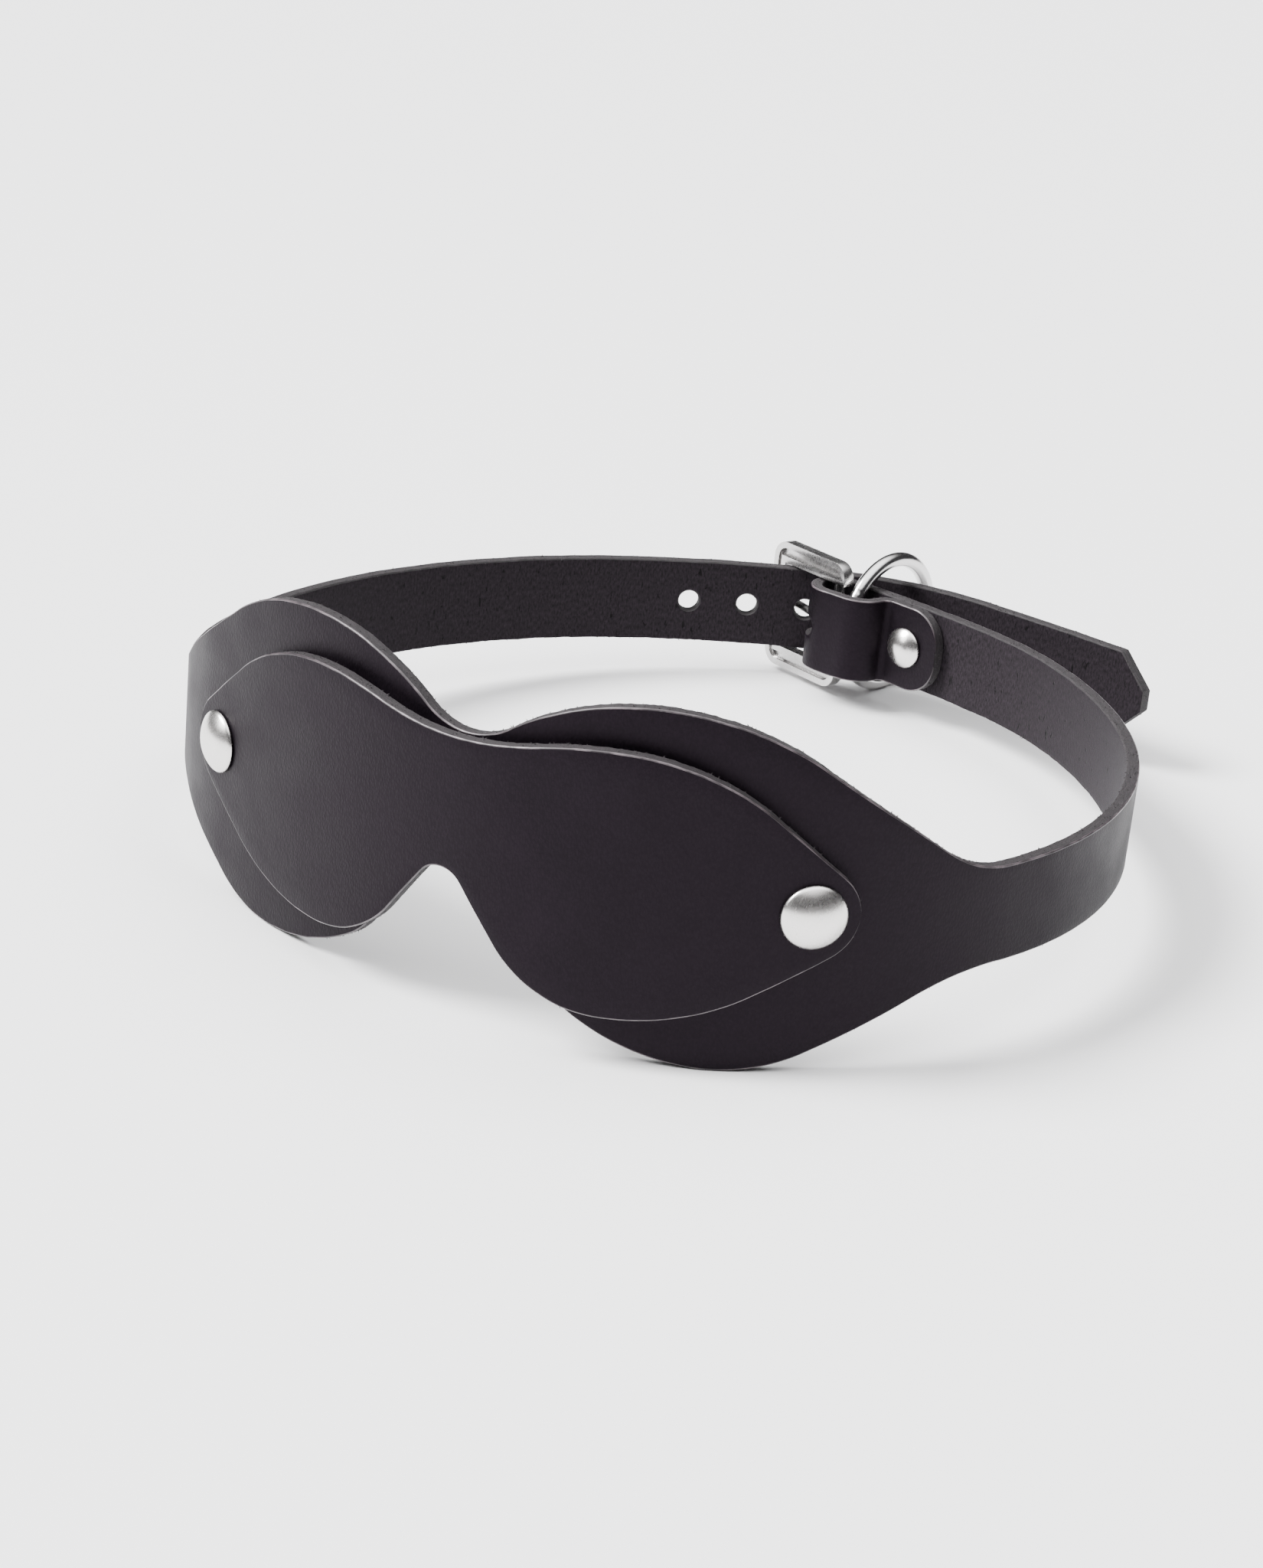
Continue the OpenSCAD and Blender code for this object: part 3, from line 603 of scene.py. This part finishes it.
def cutWith(piece, cutters):
    for cutter in cutters:
        modifier = piece.modifiers.new("cut", "BOOLEAN")
        modifier.operation, modifier.object, modifier.solver = "DIFFERENCE", cutter, "EXACT"
        modifier.material_mode = "TRANSFER"
    bake(piece)
    for cutter in cutters:
        bpy.data.objects.remove(cutter)


def bake(piece):
    done = bpy.data.meshes.new_from_object(piece.evaluated_get(bpy.context.evaluated_depsgraph_get()))
    piece.modifiers.clear()
    piece.data = done


holes = {"pitch": 14.1, "count": 5, "radius": 2.5, "soften": 0.35, "flare": 1.6, "past": 0.8, "around": 40}


def alongTail(point):  # how far along the punched side a point of the frame lies, to a thousandth
    flat = (lean.transposed() @ (Vector(point) - home) / mm).to_2d()
    for low, high, known, place, radius in tailPieces:
        spoke = flat - centreOf(place, radius)
        turn = math.remainder(math.atan2(spoke.x, -spoke.y) - place[2], 2 * math.pi)
        if abs(spoke.length - radius) < 2 * leather and low <= known + turn * radius <= high:
            return round(known + turn * radius, 3)


def holeCutter(s, c):  # a drill with flared mouths, so the hole's rims are pressed in
    out, up = outwardAt(s), lean @ Vector((0, 0, 1))
    side = up.cross(out)
    middle = onBand(s, leather / 2, 0)
    face = leather / 2
    far, clear = face + c["past"], face + 0.02
    wide, rim = c["radius"] + c["soften"] + c["flare"], c["radius"] + c["soften"]
    profile = [(-far, wide), (-clear, rim), (c["soften"] - face, c["radius"]), (face - c["soften"], c["radius"]),
               (clear, rim), (far, wide)]
    n = c["around"]
    turns = [2 * math.pi * i / n for i in range(n)]
    bm = bmesh.new()
    rings = [[bm.verts.new(middle + (out * along + (side * math.cos(a) + up * math.sin(a)) * r) * mm)
              for a in turns] for along, r in profile]
    for a, b in zip(rings, rings[1:]):
        for i in range(n):
            bm.faces.new((a[i], b[i], b[(i + 1) % n], a[(i + 1) % n]))
    bm.faces.new(rings[0])
    bm.faces.new(rings[-1])
    return cutterFrom(bm)


def cutterFrom(bm):
    bmesh.ops.recalc_face_normals(bm, faces=bm.faces)
    mesh = bpy.data.meshes.new("cutter")
    bm.to_mesh(mesh)
    bm.free()
    mesh.materials.append(edgeLeather)
    cutter = bpy.data.objects.new("cutter", mesh)
    bpy.context.scene.collection.objects.link(cutter)
    return cutter


foldSlot = {"high": 5, "start": 2, "reach": 0.12, "layers": 12, "around": 24}


def slotCutter(c):  # half discs stacked upwards, no wider than the fold, so the strap behind stays whole
    a = heelPlace[2]
    ahead, left = Vector((math.cos(a), math.sin(a), 0)), Vector((-math.sin(a), math.cos(a), 0))
    reach = route["foldInner"] + leather + c["reach"]
    r = c["high"] / 2
    bm = bmesh.new()
    rings = []
    for i in range(c["layers"] + 1):
        t = math.pi * i / c["layers"]
        z, near = -r * math.cos(t), c["start"] + r * (1 - math.sin(t))
        widest = math.acos(near / reach)
        turns = [widest * (2 * j / c["around"] - 1) for j in range(c["around"] + 1)]
        centre = Vector((heel.x, heel.y, z))
        rings.append([bm.verts.new(toRow(centre + ahead * reach * math.cos(w) + left * reach * math.sin(w)))
                      for w in turns])
    n = len(rings[0])
    for low, high in zip(rings, rings[1:]):
        for j in range(n):
            bm.faces.new((low[j], low[(j + 1) % n], high[(j + 1) % n], high[j]))
    bm.faces.new(rings[0])
    bm.faces.new(rings[-1])
    return cutterFrom(bm)


band = makeStrip("band", bandStations(), stripDetail)
mounts = {m["name"]: m for m in frame["record"]["mounts"]}
firstHole = alongTail(mounts["strap_hole_1"]["pos_m"])
drills = [holeCutter(firstHole - i * holes["pitch"], holes) for i in range(holes["count"])]
cutWith(band, drills + [slotCutter(foldSlot)])
panel = makeStrip("panel", panelStations(), stripDetail)
print("leather made, first hole at", firstHole)


def revolve(name, profile, origin, axis, material, segments=72):  # profile (radius, along axis), mm
    across = axis.orthogonal().normalized()
    other = axis.cross(across)
    turns = [2 * math.pi * i / segments for i in range(segments)]
    bm = bmesh.new()
    rings = []
    for r, z in profile:
        if r < 1e-6:
            rings.append([bm.verts.new(origin + axis * z * mm)])
        else:
            spokes = [across * math.cos(t) + other * math.sin(t) for t in turns]
            rings.append([bm.verts.new(origin + (axis * z + spoke * r) * mm) for spoke in spokes])
    for a, b in zip(rings, rings[1:]):
        for i in range(segments):
            j = (i + 1) % segments
            if len(a) == 1:
                bm.faces.new((a[0], b[j], b[i]))
            elif len(b) == 1:
                bm.faces.new((a[i], a[j], b[0]))
            else:
                bm.faces.new((a[i], a[j], b[j], b[i]))
    return finishMesh(name, bm, material)


def finishMesh(name, bm, material, angle=50):
    bmesh.ops.recalc_face_normals(bm, faces=bm.faces)
    mesh = bpy.data.meshes.new(name)
    bm.to_mesh(mesh)
    bm.free()
    mesh.materials.append(material)
    mesh.shade_smooth()
    mesh.set_sharp_from_angle(angle=math.radians(angle))
    piece = bpy.data.objects.new(name, mesh)
    bpy.context.scene.collection.objects.link(piece)
    return piece


def domeProfile(r, high, rim):  # a cap rolled under at its rim, its dome flatter on top
    turnIn = 0.45
    points = [(0, 0.25), (r - 1.1, 0.25), (r - 0.9, 0.0), (r - turnIn, 0.0)]
    for i in range(1, 6):
        t = math.pi / 2 * i / 5
        points.append((r - turnIn + turnIn * math.sin(t), turnIn - turnIn * math.cos(t)))
    ball = (r * r + high * high) / (2 * high)
    for i in range(1, 19):
        t = math.asin(r / ball) * (1 - i / 18)
        points.append((ball * math.sin(t), rim + high - ball + ball * math.cos(t)))
    return points


caps = {"wide": 6.35, "high": 2.4, "tabWide": 4.8, "tabHigh": 2.0, "rim": 0.6, "tabSeat": 0.065}


def startTree(name, inputs):  # a geometry node tree, and the identifier of each named input
    tree = bpy.data.node_groups.new(name, "GeometryNodeTree")
    ids = {}
    for label, kind in inputs:
        socket = tree.interface.new_socket(name=label, in_out="INPUT", socket_type="NodeSocket" + kind)
        ids[label] = socket.identifier
    tree.interface.new_socket(name="Geometry", in_out="OUTPUT", socket_type="NodeSocketGeometry")
    return tree, ids, tree.nodes.new("NodeGroupInput")


def endTree(tree, gin, geometry):  # real faces in the given material
    real, coat = tree.nodes.new("GeometryNodeRealizeInstances"), tree.nodes.new("GeometryNodeSetMaterial")
    tree.links.new(geometry, real.inputs[0])
    tree.links.new(real.outputs[0], coat.inputs[0])
    tree.links.new(gin.outputs["Material"], coat.inputs["Material"])
    tree.links.new(coat.outputs[0], tree.nodes.new("NodeGroupOutput").inputs[0])


def runTree(piece, tree, ids, values):  # sets the tree's inputs and leaves a plain mesh
    modifier = piece.modifiers.new(tree.name, "NODES")
    modifier.node_group = tree
    for label, value in values.items():
        modifier[ids[label]] = value
    bake(piece)


def rivetTree():  # one cap at each point, turned along the point's axis and scaled to the point's size
    inputs = (("Geometry", "Geometry"), ("Cap", "Object"), ("Material", "Material"))
    tree, ids, gin = startTree("setRivets", inputs)
    nodes, links = tree.nodes, tree.links
    cap = nodes.new("GeometryNodeObjectInfo")
    links.new(gin.outputs["Cap"], cap.inputs["Object"])
    read = {}
    for label in ("capAxis", "capScale"):
        read[label] = nodes.new("GeometryNodeInputNamedAttribute")
        read[label].data_type = "FLOAT_VECTOR"
        read[label].inputs["Name"].default_value = label
    turned = nodes.new("FunctionNodeAlignRotationToVector")
    turned.axis = "Z"
    links.new(read["capAxis"].outputs[0], turned.inputs["Vector"])
    place = nodes.new("GeometryNodeInstanceOnPoints")
    links.new(gin.outputs["Geometry"], place.inputs["Points"])
    links.new(cap.outputs["Geometry"], place.inputs["Instance"])
    links.new(turned.outputs[0], place.inputs["Rotation"])
    links.new(read["capScale"].outputs[0], place.inputs["Scale"])
    endTree(tree, gin, place.outputs[0])
    return tree, ids


def setRivets(c):
    face = 2 * leather + 2 * panelShape["seat"]
    small = (c["tabWide"] / c["wide"],) * 2 + ((c["tabHigh"] + c["rim"]) / (c["high"] + c["rim"]),)
    spots = []
    for side in (-1, 1):
        s = route["middle"] + side * panelShape["rivetAt"]
        spots.append((onBand(s, face, panelShape["end"][1]), outwardAt(s), (1, 1, 1)))
    spots.append((onBand(tabRivetS, -route["tabGap"] - leather - c["tabSeat"], 0), -outwardAt(tabRivetS), small))
    dome = domeProfile(c["wide"], c["high"], c["rim"])
    one = revolve("oneCap", dome, Vector(), Vector((0, 0, 1)), capNickel)
    mesh = bpy.data.meshes.new("rivetCaps")
    mesh.from_pydata([at for at, axis, scale in spots], [], [])
    for label, k in (("capAxis", 1), ("capScale", 2)):
        values = mesh.attributes.new(label, "FLOAT_VECTOR", "POINT")
        for i, spot in enumerate(spots):
            values.data[i].vector = spot[k]
    piece = bpy.data.objects.new("rivetCaps", mesh)
    bpy.context.scene.collection.objects.link(piece)
    tree, ids = rivetTree()
    runTree(piece, tree, ids, {"Cap": one, "Material": capNickel})
    bpy.data.objects.remove(one)
    return piece


rivetCaps = setRivets(caps)


def softCopy(node, name, material, width, segments=3):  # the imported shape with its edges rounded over
    source = frame["nodes"][node]
    bm = bmesh.new()
    bm.from_mesh(source.data)
    bmesh.ops.transform(bm, matrix=source.matrix_world, verts=bm.verts)
    bmesh.ops.remove_doubles(bm, verts=bm.verts, dist=2e-6)
    bmesh.ops.dissolve_limit(bm, angle_limit=math.radians(1.5), verts=bm.verts, edges=bm.edges)
    sharp = [e for e in bm.edges if len(e.link_faces) == 2 and e.calc_face_angle(0) > math.radians(35)]
    bmesh.ops.bevel(bm, geom=sharp, offset=width * mm, segments=segments, profile=0.5, affect="EDGES",
                    clamp_overlap=True)
    return finishMesh(name, bm, material, 40)


buckleFrame = softCopy("buckle_frame", "buckleFrame", buckleSteel, 0.6, 4)
buckleProng = softCopy("buckle_prong", "buckleProng", buckleSteel, 0.2)
postNames = {"left_rivet_post": "leftRivetPost", "right_rivet_post": "rightRivetPost", "tab_rivet_post": "tabRivetPost"}
posts = {node: softCopy(node, name, capNickel, 0.25) for node, name in postNames.items()}


def wireTree():  # a round wire bent into a circle, thinned a little at its butt seam
    inputs = (("Geometry", "Geometry"), ("Middle Radius", "Float"), ("Wire Radius", "Float"),
              ("Seam Depth", "Float"), ("Seam Place", "Float"), ("Around", "Int"), ("Sides", "Int"),
              ("Material", "Material"))
    tree, ids, gin = startTree("bentWire", inputs)
    nodes, links = tree.nodes, tree.links
    path, wire = nodes.new("GeometryNodeCurvePrimitiveCircle"), nodes.new("GeometryNodeCurvePrimitiveCircle")
    links.new(gin.outputs["Around"], path.inputs["Resolution"])
    links.new(gin.outputs["Middle Radius"], path.inputs["Radius"])
    links.new(gin.outputs["Sides"], wire.inputs["Resolution"])
    links.new(gin.outputs["Wire Radius"], wire.inputs["Radius"])
    along = nodes.new("GeometryNodeSplineParameter")
    nearSeam = mathNode(tree, "COMPARE", along.outputs["Factor"], gin.outputs["Seam Place"])
    nearSeam.node.inputs[2].default_value = 0.003
    loss = mathNode(tree, "MULTIPLY", nearSeam, gin.outputs["Seam Depth"])
    thin = nodes.new("GeometryNodeSetCurveRadius")
    links.new(path.outputs[0], thin.inputs["Curve"])
    links.new(mathNode(tree, "SUBTRACT", 1.0, loss), thin.inputs["Radius"])
    bent = nodes.new("GeometryNodeCurveToMesh")
    links.new(thin.outputs[0], bent.inputs["Curve"])
    links.new(wire.outputs[0], bent.inputs["Profile Curve"])
    radius = nodes.new("GeometryNodeInputRadius")
    links.new(radius.outputs[0], bent.inputs["Scale"])
    endTree(tree, gin, bent.outputs[0])
    return tree, ids


ring = {"wire": 1.75, "legIn": 6.85, "up": 0.3, "back": 5.2, "clear": 0.24, "around": 220, "sides": 28,
        "seamAt": 0.4, "seamDeep": 0.06}


def makeRing(r):
    face = r["legIn"] - r["wire"]
    corner = half + r["up"]
    inner = (face * face + corner * corner - r["clear"] ** 2) / (2 * (face - r["clear"]))
    middle = inner + r["wire"]
    s = heelS - r["back"]
    piece = bpy.data.objects.new("keeperRing", bpy.data.meshes.new("keeperRing"))
    bpy.context.scene.collection.objects.link(piece)
    tree, ids = wireTree()
    runTree(piece, tree, ids, {"Middle Radius": middle * mm, "Wire Radius": (r["wire"] - 0.01) * mm,
                               "Seam Depth": r["seamDeep"], "Seam Place": r["seamAt"], "Around": r["around"],
                               "Sides": r["sides"], "Material": ringNickel})
    out, up = outwardAt(s), lean @ Vector((0, 0, 1))
    place = Matrix((out, up, out.cross(up))).transposed().to_4x4()
    place.translation = onBand(s, middle - r["legIn"], r["up"])
    return settle(piece, place)


def settle(piece, place):  # puts a baked mesh in its place, its faces outwards
    bm = bmesh.new()
    bm.from_mesh(piece.data)
    bmesh.ops.transform(bm, matrix=place, verts=bm.verts)
    bmesh.ops.remove_doubles(bm, verts=bm.verts, dist=1e-7)
    bmesh.ops.recalc_face_normals(bm, faces=bm.faces)
    bm.to_mesh(piece.data)
    bm.free()
    piece.data.shade_smooth()
    return piece


keeperRing = makeRing(ring)
print("metal made")


fibres = {"density": 6e5, "length": 0.00036, "thick": 0.0001, "seed": 7,
          "dark": (0.008, 0.0062, 0.0075), "light": (0.05, 0.042, 0.046)}


def makeFibreTree():  # short tapered hairs, only on the cut edge's faces
    inputs = (("Geometry", "Geometry"), ("Density", "Float"), ("Length", "Float"), ("Thickness", "Float"),
              ("Seed", "Int"), ("Material", "Material"))
    tree, ids, gin = startTree("edgeFibres", inputs)
    nodes, links = tree.nodes, tree.links
    index = nodes.new("GeometryNodeInputMaterialIndex")
    isEdge = nodes.new("FunctionNodeCompare")
    isEdge.data_type, isEdge.operation = "INT", "EQUAL"
    isEdge.inputs[3].default_value = 2
    links.new(index.outputs[0], isEdge.inputs[2])
    spread = nodes.new("GeometryNodeDistributePointsOnFaces")
    links.new(gin.outputs["Geometry"], spread.inputs["Mesh"])
    links.new(isEdge.outputs[0], spread.inputs["Selection"])
    links.new(gin.outputs["Density"], spread.inputs["Density"])
    links.new(gin.outputs["Seed"], spread.inputs["Seed"])
    cone = nodes.new("GeometryNodeMeshCone")
    cone.inputs["Vertices"].default_value = 4
    cone.inputs["Radius Top"].default_value = 0.2
    cone.inputs["Radius Bottom"].default_value = 1
    cone.inputs["Depth"].default_value = 1
    size = nodes.new("ShaderNodeCombineXYZ")
    for i, label in enumerate(("Thickness", "Thickness", "Length")):
        links.new(gin.outputs[label], size.inputs[i])
    vary = nodes.new("FunctionNodeRandomValue")
    vary.data_type = "FLOAT"
    vary.inputs[2].default_value, vary.inputs[3].default_value = 0.4, 1.3
    links.new(gin.outputs["Seed"], vary.inputs["Seed"])
    scaled = nodes.new("ShaderNodeVectorMath")
    scaled.operation = "SCALE"
    links.new(size.outputs[0], scaled.inputs[0])
    links.new(vary.outputs[1], scaled.inputs["Scale"])
    tip = nodes.new("FunctionNodeRandomValue")
    tip.data_type = "FLOAT_VECTOR"
    tip.inputs[0].default_value, tip.inputs[1].default_value = (-1.1, -1.1, 0), (1.1, 1.1, 6.28)
    turned = nodes.new("FunctionNodeRotateRotation")
    links.new(spread.outputs["Rotation"], turned.inputs["Rotation"])
    links.new(tip.outputs[0], turned.inputs["Rotate By"])
    turned.rotation_space = "LOCAL"
    place = nodes.new("GeometryNodeInstanceOnPoints")
    links.new(spread.outputs["Points"], place.inputs["Points"])
    links.new(cone.outputs["Mesh"], place.inputs["Instance"])
    links.new(turned.outputs[0], place.inputs["Rotation"])
    links.new(scaled.outputs[0], place.inputs["Scale"])
    endTree(tree, gin, place.outputs[0])
    return tree, ids


def makeFuzzMaterial():
    material, tree, shader = newMaterial("looseFibre")
    place = addNode(tree, "ShaderNodeTexCoord")
    tint = noiseOf(tree, place.outputs["Object"], 900, 2)
    paint(tree, shader, mapRange(tree, tint, 0.35, 0.65), fibres)
    shader.inputs["Roughness"].default_value = 0.8
    return material


looseFibre = makeFuzzMaterial()
fibreTree, fibreInputs = makeFibreTree()


def growFibres(name, source, f, seed):
    piece = bpy.data.objects.new(name, source.data.copy())
    bpy.context.scene.collection.objects.link(piece)
    values = {"Density": f["density"], "Length": f["length"], "Thickness": f["thick"], "Seed": seed,
              "Material": looseFibre}
    runTree(piece, fibreTree, fibreInputs, values)
    return piece


bandFibres = growFibres("bandFibres", band, fibres, fibres["seed"])
panelFibres = growFibres("panelFibres", panel, fibres, fibres["seed"] + 1)
print("fibres", len(bandFibres.data.polygons), len(panelFibres.data.polygons))


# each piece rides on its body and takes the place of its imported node
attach(band, "mask")
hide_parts("mask_strap", "punched_end")
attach(panel, "mask")
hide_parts("front_panel")
for piece, finish in ((bandFibres, "band_leather"), (panelFibres, "panel_leather")):
    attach(piece, "mask")
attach(rivetCaps, "mask")
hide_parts("left_rivet_cap", "right_rivet_cap", "tab_rivet_cap")
for node, piece in posts.items():
    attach(piece, "mask")
    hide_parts(node)
for piece, node, body, finish in ((buckleFrame, "buckle_frame", "frame", "buckle_metal"),
                                  (buckleProng, "buckle_prong", "prong", "buckle_metal"),
                                  (keeperRing, "keeper_ring", "ring", "ring_metal")):
    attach(piece, body)
    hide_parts(node)

studio = {"floor": (0.93, 0.93, 0.935), "floorReach": 40, "horizon": (0.05, 0.048, 0.052),
          "zenith": (4.7, 4.7, 4.73), "riseFrom": 0.64, "riseTo": 0.90, "key": (-0.9, -0.62, 1.15),
          "keyPower": 8.2, "keySoft": 24, "strip": ((-0.7, -0.9, 0.75), 0.5, 5.0)}


def makeFloor(colour, far):
    material, tree, shader = newMaterial("paleFloor")
    place = addNode(tree, "ShaderNodeTexCoord")
    soft = noiseOf(tree, place.outputs["Object"], 3, 2)
    tree.links.new(mixColours(tree, soft, tuple(c * 0.99 for c in colour), colour), shader.inputs["Base Color"])
    shader.inputs["Roughness"].default_value = 0.7
    mesh = bpy.data.meshes.new("floor")
    mesh.from_pydata([(-far, -far, 0), (far, -far, 0), (far, far, 0), (-far, far, 0)], [], [(0, 1, 2, 3)])
    mesh.materials.append(material)
    floor = bpy.data.objects.new("floor", mesh)
    bpy.context.scene.collection.objects.link(floor)


def makeKey(towardsLight, power, soft):  # one broad, far lamp, so the floor is evenly lit
    light = bpy.data.lights.new("key", "SUN")
    light.energy, light.angle = power, math.radians(soft)
    lamp = bpy.data.objects.new("key", light)
    lamp.rotation_euler = (-Vector(towardsLight)).to_track_quat("-Z", "Y").to_euler()
    bpy.context.scene.collection.objects.link(lamp)


def makeStripLight(at, size, power):  # a small soft box for the glints on the metal
    light = bpy.data.lights.new("strip", "AREA")
    light.size, light.energy = size, power
    lamp = bpy.data.objects.new("strip", light)
    lamp.location = at
    lamp.rotation_euler = (Vector((0, 0, 0.03)) - Vector(at)).to_track_quat("-Z", "Y").to_euler()
    bpy.context.scene.collection.objects.link(lamp)


def makeWorld(s):  # grey low down, white overhead, as under a ceiling soft box
    world = bpy.data.worlds.new("studio")
    world.use_nodes = True
    tree = world.node_tree
    place = addNode(tree, "ShaderNodeTexCoord")
    parts = addNode(tree, "ShaderNodeSeparateXYZ")
    tree.links.new(place.outputs["Generated"], parts.inputs[0])
    rise = mapRange(tree, parts.outputs["Z"], s["riseFrom"], s["riseTo"])
    tree.links.new(mixColours(tree, rise, s["horizon"], s["zenith"]), tree.nodes["Background"].inputs["Color"])
    bpy.context.scene.world = world


makeFloor(studio["floor"], studio["floorReach"])
makeKey(studio["key"], studio["keyPower"], studio["keySoft"])
makeStripLight(*studio["strip"])
makeWorld(studio)
print("studio set")
